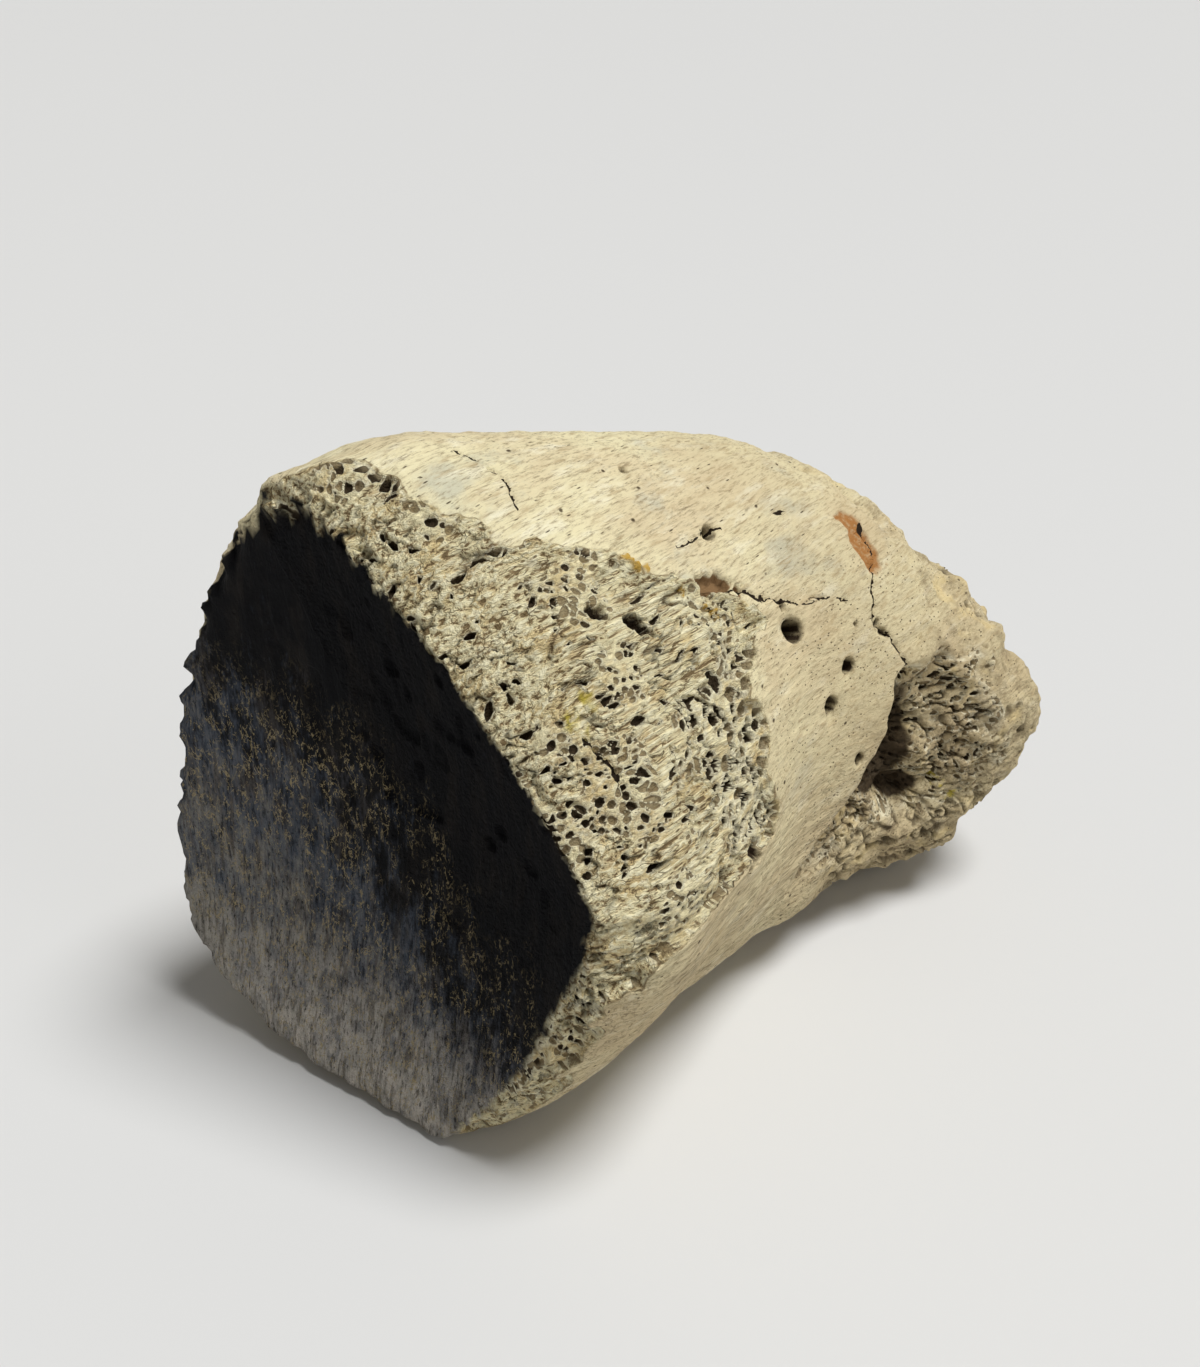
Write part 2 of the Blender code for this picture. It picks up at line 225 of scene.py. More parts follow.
HOLES = [(55.6, -17.2, 54.4, 1.9, 5.0), (63.4, -21.7, 47.1, 1.3, 3.6),
         (58.8, -21.7, 43.1, 1.5, 3.8), (49.3, -7.5, 68.2, 1.3, 3.0),
         (55.1, -15.5, 57.6, 0.8, 1.4), (63.3, -24.6, 33.3, 1.1, 2.4),
         (36.8, -10.4, 67.3, 0.9, 1.2), (44.5, 2.5, 75.5, 0.8, 1.2), (66.5, -20.9, 51.8, 0.7, 1.0)]
GAPS = [(33.6, -24.2, 35.2, 1.9, 1.6), (31.2, -24.0, 34.6, 1.4, 1.4), (70.2, -22.2, 50.2, 0.9, 0.9),
        (70.9, -22.8, 49.5, 1.0, 0.9), (71.5, -23.3, 48.9, 0.8, 0.7), (22.6, -8.6, 69.0, 1.2, 1.3),
        (23.9, -9.1, 68.4, 1.4, 1.5), (27.3, -10.8, 66.4, 1.5, 1.5), (28.2, -11.8, 65.3, 1.5, 1.5),
        (29.4, -12.6, 64.2, 1.2, 1.2)]
BEVELS = [(54.6, -16.6, 55.0, 2.9, 0.9), (53.5, -16.8, 53.2, 1.0, 1.0), (58.6, -22.3, 41.0, 2.4, 0.7),
          (48.0, -7.8, 68.3, 1.5, 0.8), (62.9, -21.9, 46.0, 1.8, 0.5)]
CHIP = [(41.0, -11.0, 65.1, 1.1, 1), (42.6, -11.2, 64.7, 1.5, 1), (44.4, -11.6, 64.0, 1.8, 1),
        (46.2, -12.1, 63.2, 1.6, 1), (47.8, -12.8, 62.0, 1.0, 1)]
CHIP_DEPTH = 1.5
RUST_LINE = [(76.2, -14.3, 61.7), (75.4, -16.4, 59.8), (75.0, -18.4, 57.5)]
RUST_WIDTH, RUST_DEPTH, LICHEN_HEIGHT = 2.5, 0.3, 0.3
LICHEN = [(33.3, -7.2, 69.6, 1.3), (32.2, -6.2, 70.5, 1.0), (41.2, -13.2, 62.5, 1.0),
          (42.4, -13.7, 61.7, 0.9), (37.6, -11.2, 65.3, 0.8)]
MOSS = [(14, -13.3, 63.0, 1.2), (12.4, -13.2, 62.2, 0.9), (10.7, -13, 61.4, 1.0),
        (11.9, -14.7, 60.3, 1.0), (11.7, -16.3, 58.4, 0.7), (82.7, -33, 19, 1.3),
        (80.5, -32, 22, 1.0), (76.0, -29.5, 14.5, 1.2)]
CRACKS = [
    [(24.2, 11.9, 82), (25.4, 9.9, 81.1), (25.7, 6.5, 79.5), (22.8, 2.5, 77.6)],
    [(78.0, -15.0, 60.8), (76.6, -16.6, 59.6), (76.0, -18.0, 58.0)],
    [(74.6, -19.0, 56.9), (72.3, -19.9, 55.1), (70.7, -20.8, 53.1), (70.0, -22.0, 50.6),
     (71.7, -23.4, 48.7), (72.4, -24.4, 46.8), (73.3, -25.7, 44.5), (74.7, -26.9, 42.4)],
    [(45.5, -12.3, 62.9), (51.9, -14.1, 59.7), (57.3, -15.7, 57.5), (61.0, -17.3, 55.7)],
    [(61.0, -16.6, 56.6), (66.5, -19.0, 54.9)],
    [(41.1, -7.5, 69.0), (49.3, -7.5, 68.2), (56.0, -8.6, 67.4), (65.5, -10.2, 66.1)],
    [(11.0, -15.0, 60.1), (11.9, -15.8, 59.1), (11.9, -17.0, 57.7), (12.4, -18.3, 56.3),
     (11.9, -19.2, 55.0)],
]
CRACK_WIDTH, CRACK_DEPTH, CRACK_NEAR = 0.5, 0.45, 2.0
RIM_WIDTH, RIM_WEAR, DISH_REACH = 2.5, 0.35, 35.0
PATINA_BORDER = [(0, 0.3), (0.03, 0.2), (0.08, 0.3), (0.24, 0.4), (0.29, 1.0), (0.34, 2.2),
                 (0.42, 0.4), (0.5, -1.8), (0.75, -1.5), (0.92, -1.2), (0.97, -1.0), (1, 0.3)]


def near_point(points, places, steep=1.0):
    """How deep each (x, y, z, reach, depth) reaches at the points."""
    depth = np.zeros(len(points))
    for px, py, pz, reach, deep in places:
        distance = np.linalg.norm(points - (px, py, pz), axis=1)
        depth += deep * smooth((1 - distance / reach) * steep)
    return depth


def near_line(points, normal, line):
    """Distance from a line through the line's places, below zero on its right-hand side."""
    best, side = np.full(len(points), 1e9), np.ones(len(points))
    for a, b in zip(line[:-1], line[1:]):
        a, b = np.array(a, float), np.array(b, float)
        t = np.clip(((points - a) @ (b - a)) / ((b - a) @ (b - a)), 0, 1)
        distance = np.linalg.norm(points - a - t[:, None] * (b - a), axis=1)
        turn = (np.cross(b - a, points - a) * normal).sum(1)
        side = np.where(distance < best, np.where(turn < 0, -1, 1), side)
        best = np.minimum(best, distance)
    return best * side


def drift(points, size, seed):
    """A soft wandering offset from -1 to 1 along each axis."""
    return np.stack([lumps(points / size, seed + axis) for axis in range(3)], 1)


def round_holes(p, seed, radius=0.34, wall=0.09):
    """For round holes in a honeycomb, one a cell: 0 at the lip, up to 1 inside; and the cell."""
    gap, nearest, cell = honeycomb(p, seed)
    reach = radius + 0.14 * np.abs(2 * cell - 1)
    return np.clip(np.minimum((reach - nearest) / 0.10, (gap - wall) / 0.10), -1, 1), cell


def flank_form(points):
    """The flaked flank's depth, the painted shade in its clefts, how spongy it is, and its hollows: their
    lip and openness.
    """
    x, _, z = points.T
    warped = points + 1.2 * drift(points, 6.0, 21) + 0.35 * drift(points, 1.8, 24)
    middle, reach = SPONGE
    sponge = 1.3 - np.linalg.norm((points - middle) / reach, axis=1) + 0.45 * lumps(points / 4.0, 27)
    sponge = smooth(sponge)
    low = smooth((41.0 - z + 4.0 * lumps(points / 6.0, 28)) / 7.0)
    blistered = smooth((lumps(points / 7.0, 29) - 0.05) / 0.35) * (1 - sponge)
    plated = (1 - sponge) * (1 - blistered)
    tilted = warped + np.outer((0.1 + low * 0.3) * (x - 20.0), (0, 0, 1))

    # thin plates with clefts between them, and scattered pockets
    level = lumps(tilted / (8.0, 1.2, 1.1), 31) + 0.4 * lumps(tilted / (4.0, 0.65, 0.65), 32)
    gap = smooth(1 - np.abs(level) / 0.16) * smooth((lumps(points / 3.0, 33) + 0.6) / 0.5)
    wall, _, pocket = honeycomb(tilted / POCKET_CELL, 35)
    pocket = smooth((pocket - 0.84 + 0.22 * low) / 0.05)
    lip = np.clip((wall - 0.16) / 0.15, -1, 1) * pocket - (1 - pocket)
    depth = plated * (0.2 + 0.3 * smooth((level + 0.06) / 0.12) + 0.55 * gap)
    depth += plated * (1.0 + 0.6 * low) * smooth(lip + 0.3)
    open_sponge = smooth((sponge - 0.2) / 0.25)
    open_blister = smooth((blistered - 0.25) / 0.25) * (1 - open_sponge)
    plain = 1 - open_sponge - open_blister
    hole, open_hole = plain * lip, plain * pocket

    # small round blisters
    lip, cell = round_holes(tilted / BLISTER_CELL, 47, 0.42, 0.09)
    depth += blistered * (0.2 + 0.8 * smooth(lip + 0.4) * (0.3 + 0.7 * cell))
    opened = 0.35 + 0.6 * smooth((cell - 0.35) / 0.4)
    hole, open_hole = hole + open_blister * lip, open_hole + open_blister * opened

    # the wide open cells of the spongy patch, and the slow swell of the whole flank
    lip, cell = round_holes(warped / SPONGE_CELL, 41, 0.50, 0.10)
    opened = 0.45 + 0.55 * smooth((cell - 0.22) / 0.1)
    depth += sponge * SPONGE_DEPTH * smooth(lip * 1.1 + 0.15) * opened
    hole, open_hole = hole + open_sponge * lip, open_hole + open_sponge * opened
    depth += FLANK_SWELL * lumps(points / (9.0, 4.0, 4.0), 51) + 0.2 * lumps(points / (4.0, 2.0, 2.0), 52)
    # the second value is painted shade in the clefts between the plates
    return depth, 0.7 * plated * gap, 1 - plain, hole, open_hole


def pit_form(points):
    """The ligament pit's depth, where it is lined, its painted shade, and its holes' lip and openness."""
    x, y, z = points.T
    edge = along(PIT_EDGE, z) + 0.8 * lumps(points / 2.5, 65)
    past_edge = smooth((x - edge) / 1.3) * smooth((-12.0 - y) / 4.0)
    tall = smooth((45.0 - z + 2.0 * lumps(points / 3.0, 66)) / 4.0) * smooth((z - 15.0) / 6.0)
    pit = near_point(points, PIT) * (0.1 + 0.9 * past_edge)
    pit = pit + PIT_STEP * past_edge * tall * smooth((90 - x) / 16)
    lined = past_edge * tall * smooth((91.0 - x + 3.0 * lumps(points / 3.0, 68)) / 7.0)
    warped = points + 0.8 * drift(points, 3.5, 61) + 0.3 * drift(points, 1.1, 64)
    lip, cell = round_holes(warped / PIT_CELL, 61)
    level = lumps((points + 0.8 * drift(points, 2.5, 69)) / (4.0, 1.3, 1.1), 70)
    cleft = smooth(1 - np.abs(level) / 0.2)
    # painted shade deep in the pit under its edge
    dark = np.minimum(near_point(points + 0.9 * drift(points, 1.8, 75), PIT_DARK, 1.8), 1)
    opened = 0.3 + 0.7 * cell
    pit += lined * (smooth(lip + 0.4) * opened + CLEFT_DEPTH * cleft + 0.9 * rough_lumps(points / 4.0, 67))
    return pit, lined, lined * np.maximum(dark, 0.75 * cleft), lip, opened


def patches(points, places, grain, seed, share):
    """Ragged patches of lichen or moss round the places, 1 inside them and 0 outside."""
    wandered = points + 0.8 * drift(points, 0.8, 77)
    patch = near_point(wandered, [place + (1.0,) for place in places], 3.0)
    return patch * smooth((lumps(points / grain, seed) + share) / 0.3)


def cracks_near(points, normal):
    """The distance to the nearest crack, below zero on one side, and how near it is."""
    side, near = np.full(len(points), CRACK_NEAR), np.zeros(len(points))
    wandered = points + 0.5 * drift(points, 1.3, 74)
    for line in CRACKS:
        away = near_line(wandered, normal, line)
        closer = np.abs(away) < np.abs(side)
        side = np.where(closer, away, side)
        near = np.maximum(near, np.clip(1 - np.abs(away) / CRACK_NEAR, 0, 1))
    return side, near


def end_form(points, lined):
    """The worn end's depth with the condyles' groove, where it is rough, and the painted shade in its
    pocks and clefts.
    """
    x, y, z = points.T
    across = np.exp(-((y - (along(NEAR_Y, x) + along(FAR_Y, x)) / 2) / GROOVE_WIDTH) ** 2)
    depth = GROOVE_DEPTH * across * smooth((x - GROOVE_X[0]) / (GROOVE_X[1] - GROOVE_X[0]))
    plantar = smooth((x - 56.0) / 8.0) * smooth((24.0 - z) / 6.0) * smooth((2.0 - y) / 8.0)
    rough = smooth((x - 76.0 + 5.0 * lumps(points / 5.0, 83)) / 10.0)
    rough = np.maximum(rough, plantar) * (1 - lined) * smooth((z - 1.0) / 6.0)
    tip = smooth((x - 86.0 + 4.0 * lumps(points / 4.0, 84)) / 10.0)
    tip = rough * np.maximum(tip, plantar)
    lip, cell = round_holes((points + 0.7 * drift(points, 2.2, 86)) / POCK_CELL, 87)
    pocks = smooth(lip + 0.4) * smooth((cell - 0.5) / 0.15)
    depth += rough * END_WEAR * np.maximum(lumps(points / 5.0, 81) + 0.4, -0.1)
    level = lumps((points + 0.8 * drift(points, 2.5, 69)) / (4.5, 1.4, 1.4), 88)
    cleft = smooth(1 - np.abs(level) / 0.2) * plantar * rough
    depth += CLEFT_DEPTH * cleft
    uneven = 0.6 * lumps(points / 2.5 + 17.3, 82) + 0.3 * lumps(points / 1.2, 85)
    depth += tip * (uneven + POCK_DEPTH * pocks)
    return depth, rough, 0.7 * np.maximum(tip * pocks, cleft)


def socket_skin(u, plain, skin, past_rim, inward, knobbed):
    """Where the socket's dark skin lies, inside a jagged border, and how pale it is, partly its own tone
    and partly painted light and shade.
    """
    jagged = 0.3 + 1.4 * knobbed + 1.2 * smooth((u - 0.27) / 0.04) * smooth((0.4 - u) / 0.05)
    jagged = jagged * (lumps(skin / 1.7, 121) + 0.5 * lumps(plain / 0.8, 122))
    border = np.interp(u, *zip(*PATINA_BORDER)) + jagged
    blotch = 7.0 * rough_lumps(plain / (9.0, 4.0, 9.0), 123)
    blotch = blotch + 5.0 * rough_lumps(plain / (2.0, 1.2, 2.4), 126)
    # painted light and shade on top of the skin's own tone: paler towards the far side and low down where
    # light and light from the floor reach it, black high on the near side in the rim's shadow
    pale = (0.8 * plain[:, 1] - plain[:, 2] + blotch + 42.0) / 55.0
    pale = pale + 0.45 * smooth((20 - plain[:, 2]) / 18)
    return smooth((inward - past_rim - border) / 0.5), pale


def worn_form(u, v):
    """The bone's points in millimetres, and for each the masks that its colours follow."""
    rim_row = SOCKET_SHARE + 0.001
    dish = np.clip(v / SOCKET_SHARE, 0, 1)
    in_dish, inward = v < SOCKET_SHARE, (1 - dish) * DISH_REACH
    plain = plain_form(u, v)
    skin = plain_form(u, np.maximum(v, rim_row))
    normal = outward(u, np.maximum(v, rim_row + 0.002))
    x, y, z = skin.T
    past_rim = CONDYLE_X * (np.maximum(v, rim_row) - SOCKET_SHARE) / (END_SHARE - SOCKET_SHARE)

    # the flaked flank
    wander = 1.8 * lumps(skin / 3.1, 11) + 1.0 * lumps(skin / 1.2, 12)
    border = np.interp(u, *zip(*FLAKED)) + wander
    flaked = smooth((border - x) / 0.9)
    own = np.where(in_dish[:, None], plain, skin)
    here = (flaked > 0) & (inward < 6.0)
    flank, gap_shade, spongy, hole, open_hole = np.zeros((5, len(u)))
    flank[here], gap_shade[here], spongy[here], hole[here], open_hole[here] = flank_form(own[here])
    dorsal = smooth((0.16 - u) / 0.03) + smooth((u - 0.9) / 0.03)
    depth = FLAKE_DEPTH * smooth((border - x) / (FLAKE_EDGE + 3.5 * dorsal))
    depth += flaked * flank * (0.3 + 0.7 * smooth((border - x) / 3.0))
    within = smooth((border - x) / 1.5)
    # the painted shade in the hollows starts with the flank's clefts
    cavity_shade, hole, open_hole = flaked * gap_shade, hole * within, open_hole * within

    # the ligament pits, named holes, the hollow chip, rust, lichen, moss and lumps
    pit, lined, shade, lip, opened = pit_form(skin)
    depth += pit + near_point(skin, FAR_PIT)
    hole, open_hole = hole + lined * lip, open_hole + lined * opened
    ragged = skin + 0.6 * drift(skin, 1.6, 71) + 0.35 * drift(skin, 0.7, 73)
    holes = near_point(skin, HOLES, 1.9) + near_point(ragged, GAPS, 1.5)
    # painted shade inside the named holes and gaps
    cavity_shade = np.maximum(cavity_shade, smooth((holes - 0.3) / 0.5))
    chip = np.minimum(near_point(ragged, CHIP, 1.5), 1)
    rust = 3 * (1 - np.abs(near_line(ragged, normal, RUST_LINE)) / RUST_WIDTH)
    rust = smooth(rust + 0.8 * lumps(skin / 1.3, 76))
    lichen = patches(skin, LICHEN, 0.6, 79, 0.25)
    moss = patches(skin, MOSS, 0.5, 78, 0.2)
    depth += holes + near_point(skin, BEVELS) + near_point(skin, LUMPS)
    depth += CHIP_DEPTH * chip + RUST_DEPTH * rust - LICHEN_HEIGHT * lichen

    # the cracks, finer than the mesh: kept as a distance that the colour can narrow
    crack_side, crack_near = cracks_near(skin, normal)
    depth += CRACK_DEPTH * smooth(1 - np.abs(crack_side) / CRACK_WIDTH)

    # the condyles' groove and rough end, and the slow unevenness of all of it
    end_depth, end_rough, end_shade = end_form(skin, lined)
    depth += end_depth
    # and the painted shade in the end's pocks and clefts
    cavity_shade = np.maximum(cavity_shade, end_shade)
    depth += 0.25 * rough_lumps(skin / 14.0, 101)
    depth += 0.16 * rough_lumps(skin / (5.0, 1.3, 1.3), 103) * (1 - flaked)

    # the rim: knobbed on the far and upper side, rounded over and chipped back everywhere
    rim = np.exp(-(past_rim / RIM_WIDTH) ** 2)
    knobbed = smooth((u - 0.72) / 0.1) + smooth((0.06 - u) / 0.04)
    depth += rim * (RIM_WEAR + (RIM_WEAR + 0.5 * knobbed) * rough_lumps(skin / 2.2, 91))
    chipped = 0.4 + 0.5 * smooth(lumps(skin / 1.3, 93) + 0.3)
    chipped = chipped + knobbed * 1.1 * smooth(lumps(skin / 2.4, 94) + 0.3)

    # inside the socket everything that shapes the rim fades out
    fade = np.where(in_dish, np.exp(-(inward / 4.0) ** 2) * dish, 1.0)
    depth = depth * np.where(depth > 0, 1, smooth((z - 0.2) / 2.5))
    rim_mean = flaked * (FLAKE_DEPTH + 0.6)
    just_inside = np.exp(-(inward / 0.9) ** 2)
    depth = np.where(in_dish, rim_mean + (depth - rim_mean) * just_inside, depth)
    worn = plain - normal * (depth * fade)[:, None]
    near_rim = np.where(in_dish, np.exp(-(inward / 1.5) ** 2), np.exp(-(past_rim / 1.5) ** 2))

    # and the socket's own dimples and upright fibres begin
    dimples = smooth(lumps(plain / (1.0, 2.2, 2.6), 111) * 1.9 - 0.35)
    dimples *= smooth(1.5 - np.linalg.norm((plain - (0.0, 6.0, 50.0)) / (20.0, 22.0, 24.0), axis=1))
    fibres = lumps(plain / (1.0, 0.9, 5.0), 113) + 0.6 * lumps(plain / (1.0, 0.5, 1.6), 114)
    worn[:, 0] += chipped * near_rim
    worn[:, 0] += (1 - np.exp(-(inward / 3.0) ** 2)) * (0.6 * dimples + 0.16 * fibres)

    # the skin's tone, partly painted light and shade
    socket, patina_and_shade = socket_skin(u, plain, skin, past_rim, inward, knobbed)
    pinpricks = smooth((x - 38.0) / 10.0) * smooth((66.0 - z) / 14.0) * smooth((-4.0 - y) / 8.0)
    return worn, {
        "border": np.clip(border - x, -3, 3), "spongy": spongy, "hole": hole, "open": open_hole,
        "cavity_shade": np.maximum(cavity_shade * (1 - socket), 0), "lined": lined, "shade": shade,
        "chip": chip, "rust": rust, "lichen": lichen, "moss": moss,
        "crack_side": crack_side, "crack_near": crack_near,
        "end_rough": end_rough, "pinpricks": pinpricks,
        "socket": socket, "patina_and_shade": np.clip(patina_and_shade, 0, 1.2), "dimples": dimples * socket}


# The bone itself: one closed skin of mineralised bone. A flat grid is rolled into a tube, drawn
# to a point in the socket and between the condyles, with most rows on the flaked flank. What
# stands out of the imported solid's box is pressed in, and the skin is thinned where it is plain.
COLUMNS, ROWS = 720, 600
COLUMN_SHARES = [(0, 0), (0.68, 0.40), (1, 1)]
ROW_SHARES = [(0, 0), (0.15, SOCKET_SHARE), (0.80, 0.72), (0.88, END_SHARE), (1, 1)]
FACES_KEPT = 196000
PRESSED_BAND = 4.0


def pressed_in(values, limit):
    """The values, the outermost few millimetres pressed together so that none passes the limit."""
    start, most = limit - PRESSED_BAND * MM, values.max()
    squeeze = (limit - start) / max(most - start, limit - start)
    return np.where(values > start, start + (values - start) * squeeze, values)


def bone_skin():
    bm = bmesh.new()
    bmesh.ops.create_grid(bm, x_segments=COLUMNS, y_segments=ROWS, size=1.0)
    mesh = bpy.data.meshes.new("bone")
    bm.to_mesh(mesh)
    flat = np.zeros(len(mesh.vertices) * 3)
    mesh.vertices.foreach_get("co", flat)
    flat = (flat.reshape(-1, 3) + 1) / 2
    u = np.interp(flat[:, 0], *zip(*COLUMN_SHARES))
    v = np.interp(flat[:, 1], *zip(*ROW_SHARES))
    points, masks = worn_form(u, v)
    points = (points - MIDDLE) * MM
    for axis in range(3):
        low, high = cad_box[0][axis], cad_box[1][axis]
        points[:, axis] = pressed_in(points[:, axis], high)
        if axis < 2:
            points[:, axis] = -pressed_in(-points[:, axis], -low)
        else:
            points[:, axis] = np.maximum(points[:, axis], 0)
    mesh.vertices.foreach_set("co", points.ravel())
    for name, values in masks.items():
        attribute = mesh.attributes.new(name, "FLOAT", "POINT")
        attribute.data.foreach_set("value", values.astype(np.float32))
    bm.clear()
    bm.from_mesh(mesh)
    bmesh.ops.remove_doubles(bm, verts=bm.verts, dist=0.002 * MM)
    bmesh.ops.recalc_face_normals(bm, faces=bm.faces)
    bm.to_mesh(mesh)
    bm.free()
    piece = bpy.data.objects.new("bone", mesh)
    bpy.context.scene.collection.objects.link(piece)
    thin = piece.modifiers.new("fewer_faces", "DECIMATE")
    thin.ratio = FACES_KEPT / (2 * COLUMNS * ROWS)
    graph = bpy.context.evaluated_depsgraph_get()
    thinned = bpy.data.meshes.new_from_object(
        piece.evaluated_get(graph), preserve_all_data_layers=True, depsgraph=graph)
    piece.modifiers.clear()
    piece.data = thinned
    thinned.name = "bone"
    thinned.shade_smooth()
    return piece


bone = bone_skin()

# The look of the bone: pale mineralised bone, grained along its length, with pores, painted shade in its
# hollows and painted highlights on its crests, and on the joint socket a blue-black skin flecked with
# ochre, its tone partly painted light and shade.
material = bpy.data.materials.new("fossil_bone")
material.use_nodes = True
tree = material.node_tree
shader = tree.nodes["Principled BSDF"]
place = tree.nodes.new("ShaderNodeTexCoord")


def node(kind, **inputs):
    made = tree.nodes.new(kind)
    for name, value in inputs.items():
        socket = made.inputs[name.replace("_", " ")]
        if isinstance(value, bpy.types.NodeSocket):
            tree.links.new(value, socket)
        else:
            socket.default_value = value
    return made


def stretched(scale, lean=0.0):
    """Object coordinates in millimetres, leant by some degrees along X, over a scale on each axis."""
    turned = node("ShaderNodeMapping", Vector=place.outputs["Object"],
                  Rotation=(0, math.radians(-lean), 0))
    mapping = node("ShaderNodeMapping", Vector=turned.outputs["Vector"])
    mapping.inputs["Scale"].default_value = tuple(1000.0 / s for s in scale)
    return mapping.outputs["Vector"]


def mask(name):
    attribute = tree.nodes.new("ShaderNodeAttribute")
    attribute.attribute_name = name
    return attribute.outputs["Fac"]


def noise(scale, detail=4.0, rough=0.6, twist=0.0, lean=0.0):
    made = node("ShaderNodeTexNoise", Vector=stretched(scale, lean), Scale=1.0, Detail=detail,
                Distortion=twist)
    made.inputs["Roughness"].default_value = rough
    return made.outputs["Fac"]


def ranged(value, low, high, to_low=0.0, to_high=1.0):
    made = node("ShaderNodeMapRange", Value=value)
    made.interpolation_type = "SMOOTHSTEP"
    made.inputs["From Min"].default_value = low
    made.inputs["From Max"].default_value = high
    made.inputs["To Min"].default_value = to_low
    made.inputs["To Max"].default_value = to_high
    return made.outputs["Result"]


def math_node(operation, a, b):
    made = tree.nodes.new("ShaderNodeMath")
    made.operation = operation
    for socket, value in zip(made.inputs, (a, b)):
        if isinstance(value, bpy.types.NodeSocket):
            tree.links.new(value, socket)
        else:
            socket.default_value = value
    return made.outputs["Value"]


def times(*values):
    product = values[0]
    for value in values[1:]:
        product = math_node("MULTIPLY", product, value)
    return product


def less(value):
    return math_node("SUBTRACT", 1.0, value)


def unsigned(value):
    return math_node("ABSOLUTE", value, 0.0)


def blend(factor, a, b):
    made = tree.nodes.new("ShaderNodeMix")
    made.data_type = "RGBA"
    for index, value in ((0, factor), (6, a), (7, b)):
        if isinstance(value, bpy.types.NodeSocket):
            tree.links.new(value, made.inputs[index])
        else:
            made.inputs[index].default_value = value
    return made.outputs[2]


def pores(spacing, size, share):
    """Dark dots about size across, one in each cell of the spacing, in a share of the cells."""
    dots = node("ShaderNodeTexVoronoi", Vector=stretched(spacing), Scale=1.0)
    present = ranged(node("ShaderNodeSeparateColor", Color=dots.outputs["Color"]).outputs["Red"],
                     1 - share, 1 - share + 0.02)
    return math_node("MULTIPLY", ranged(dots.outputs["Distance"], size, size * 0.4), present)


def lines_in(scale, detail, narrow, wide, lean=0.0):
    """Thin wavy lines, 1 along them, where a smooth noise passes its middle."""
    away = unsigned(math_node("SUBTRACT", noise(scale, detail, 0.5, 0.3, lean), 0.5))
    return less(ranged(away, narrow, wide))


CREAM = (0.86, 0.78, 0.50, 1)
TAN = (0.74, 0.62, 0.39, 1)
BLUISH = (0.50, 0.52, 0.44, 1)
PALE = (0.94, 0.89, 0.67, 1)
TAN_DEEP = (0.50, 0.38, 0.21, 1)
GRAIN_DARK = (0.31, 0.24, 0.14, 1)
TAN_DARK = (0.36, 0.24, 0.12, 1)
WALL = (0.96, 0.86, 0.53, 1)
WALL_YELLOW = (0.80, 0.63, 0.31, 1)
FLANK_BROWN = (0.55, 0.40, 0.21, 1)
FLANK_GREY = (0.47, 0.43, 0.33, 1)
# painted highlight for the flank's crests; brown and near-black painted shade for its hollows and deep
# holes
CREST_HIGHLIGHT = (0.96, 0.89, 0.61, 1)
HOLLOW_SHADE = (0.22, 0.155, 0.075, 1)
DEEP_SHADE = (0.035, 0.022, 0.012, 1)
PORE = (0.11, 0.08, 0.045, 1)
CHIP_BROWN = (0.25, 0.15, 0.07, 1)
RUST = (0.40, 0.18, 0.055, 1)
LICHEN_GOLD = (0.56, 0.33, 0.04, 1)
MOSS_YELLOW = (0.56, 0.45, 0.05, 1)

# the dense outer bone: grained along its length, stained, and dotted with fine pores
colour = blend(ranged(noise((26, 15, 15)), 0.38, 0.66), CREAM, TAN)
colour = blend(times(ranged(noise((14, 9, 9), 5), 0.54, 0.72), 0.55), colour, BLUISH)
colour = blend(ranged(noise((9, 2.2, 2.2), 4, 0.65), 0.52, 0.72, 0.0, 0.7), colour, PALE)
grain = noise((2.6, 0.35, 0.35), 5, 0.75)
colour = blend(ranged(grain, 0.47, 0.70, 0.0, 0.95), colour, GRAIN_DARK)
streaks = noise((5, 1.0, 1.0), 5, 0.7)
colour = blend(ranged(streaks, 0.5, 0.72, 0.0, 0.65), colour, TAN_DEEP)
distances = node("ShaderNodeSeparateXYZ", Vector=place.outputs["Object"])
height = distances.outputs["Z"]
# darker low down and towards the condyle end
colour = blend(ranged(height, 66 * MM, 34 * MM, 0.0, 0.38), colour, TAN_DEEP)
colour = blend(ranged(distances.outputs["X"], -10 * MM, 14 * MM, 0.0, 0.28), colour, TAN_DEEP)

# the flaked flank: pale crests with painted highlights between dark wavy lines of painted shade, and
# hollows painted dark inside with painted highlights on their crisp thin lips
flaked = ranged(mask("border"), 0.0, 0.35)
plated = times(flaked, less(times(mask("spongy"), 0.6)))
low = ranged(height, 46 * MM, 36 * MM)
wall_tone = blend(ranged(noise((6, 3, 3), 3), 0.46, 0.66), WALL, WALL_YELLOW)
colour = blend(times(flaked, 0.85), colour, wall_tone)
browned = ranged(noise((5, 2.4, 2.4), 4, 0.65), 0.54, 0.70)
colour = blend(times(browned, flaked, 0.6), colour, FLANK_BROWN)
greyed = ranged(noise((4, 1.8, 1.8), 4, 0.7), 0.56, 0.70)
colour = blend(times(greyed, flaked, 0.4), colour, FLANK_GREY)
lamellae = math_node("ADD", times(noise((9.0, 0.60, 0.60), 3, 0.6, 0.35, 6.0), less(low)),
                     times(noise((7.0, 0.60, 0.62), 3, 0.6, 0.35, 22.0), low))
